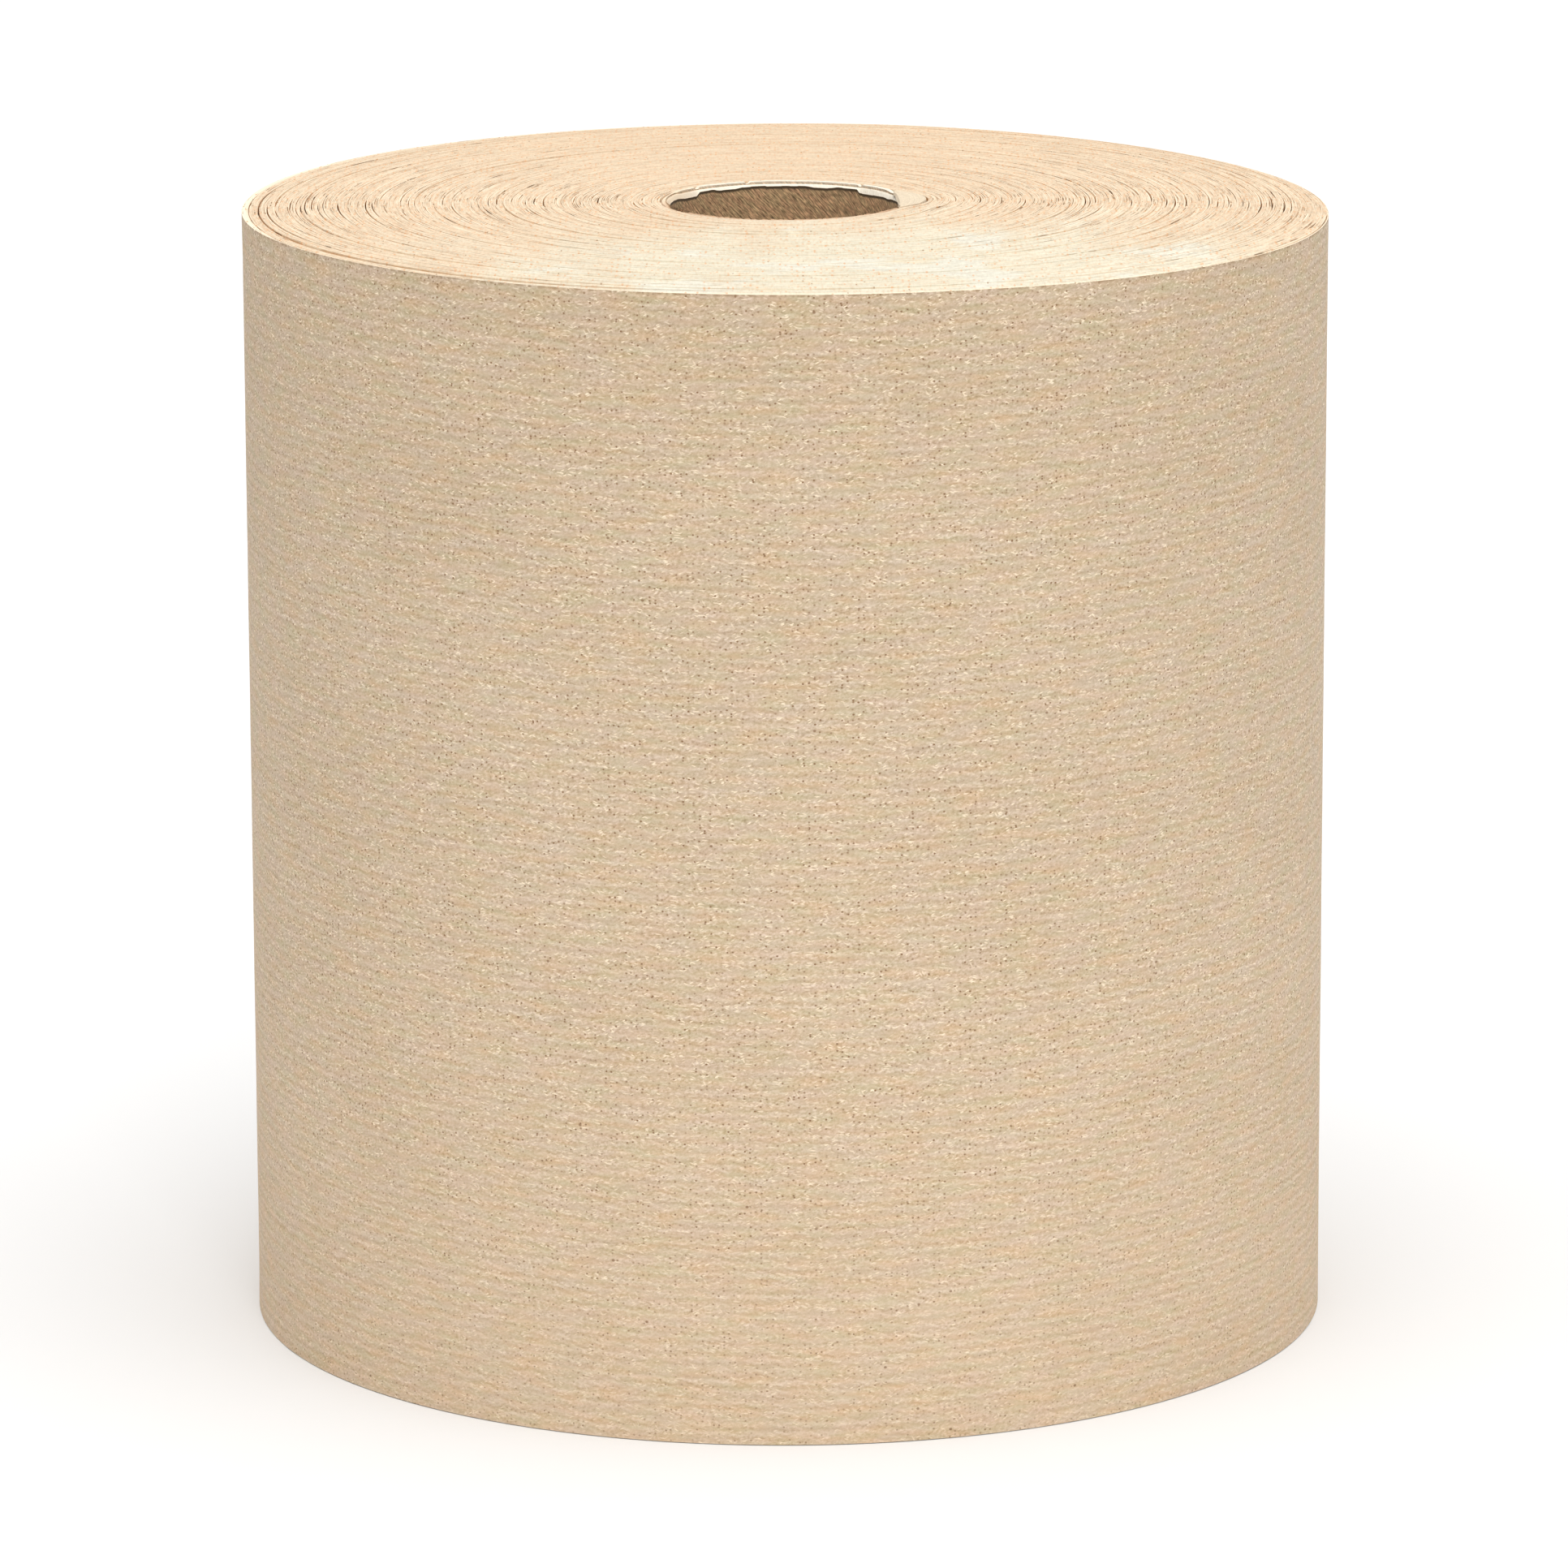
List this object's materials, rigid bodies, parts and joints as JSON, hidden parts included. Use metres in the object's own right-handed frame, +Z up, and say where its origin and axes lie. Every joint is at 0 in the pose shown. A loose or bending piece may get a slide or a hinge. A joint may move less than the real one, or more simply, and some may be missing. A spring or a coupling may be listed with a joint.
{
  "type": "paper towel roll",
  "caption": "Free-standing roll of natural brown paper towel, wound tightly on a hollow paperboard core, with its turns showing as a spiral on both ends.",
  "frame": {"origin": "on the roll's axis, in the plane that the roll stands on", "axes": "+Z up along the roll's axis; the web's tail ends behind the roll, at 150 degrees from +X"},
  "size_m": [0.1954, 0.1956, 0.2042],
  "materials": {
    "towel_paper": "natural brown crepe paper, soft and matte",
    "core_board": "grey-brown spiral-wound paperboard, matte"
  },
  "bodies": {
    "root": {"towel_roll": "towel_paper", "core_tube": "core_board"}
  },
  "joints": []
}
